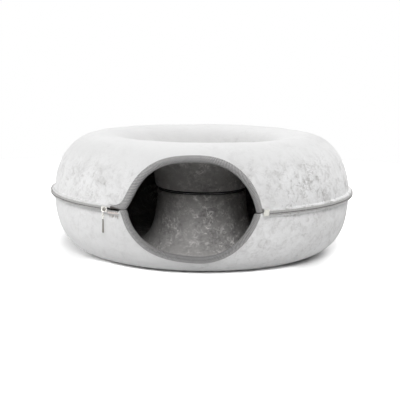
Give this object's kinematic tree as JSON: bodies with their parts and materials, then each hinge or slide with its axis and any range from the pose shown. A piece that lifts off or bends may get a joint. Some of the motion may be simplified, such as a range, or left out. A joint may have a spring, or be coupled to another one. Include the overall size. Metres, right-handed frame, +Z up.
{
  "type": "donut cat bed",
  "caption": "Ring-shaped felt tunnel bed for a cat, with a bound front doorway, an open centre and an outer zip.",
  "frame": {"origin": "centre of the bed's bounding box in X and Y, at floor level; the ring's own axis stands 10.8 mm towards -Y of it, because the doorway shortens the front", "axes": "+Z up along the ring's axis, -Y out of the doorway, +X to the right of someone who faces the doorway"},
  "size_m": [0.6014, 0.5798, 0.2285],
  "materials": {
    "felt": "pale heathered pressed felt, matt, slightly hairy",
    "binding_tape": "mid-grey ribbed woven tape, matt",
    "zip_tape": "light grey woven zip tape, matt",
    "zip_teeth": "dark nylon coil, satin",
    "open_teeth": "pale nylon coil, satin",
    "end_tab": "light woven tab, matt",
    "slider_metal": "bright plated zinc, light wear",
    "pull_metal": "dark plated zinc, satin"
  },
  "bodies": {
    "root": {"upper_shell": "felt", "lower_shell": "felt", "upper_binding": "binding_tape", "lower_binding": "binding_tape", "upper_zip_tape": "zip_tape", "lower_zip_tape": "zip_tape", "zip_coil": "zip_teeth", "open_zip_coil": "open_teeth", "zip_end_tab": "end_tab", "zip_slider": "slider_metal", "pull_link": "slider_metal", "zip_pull": "pull_metal"}
  },
  "joints": []
}
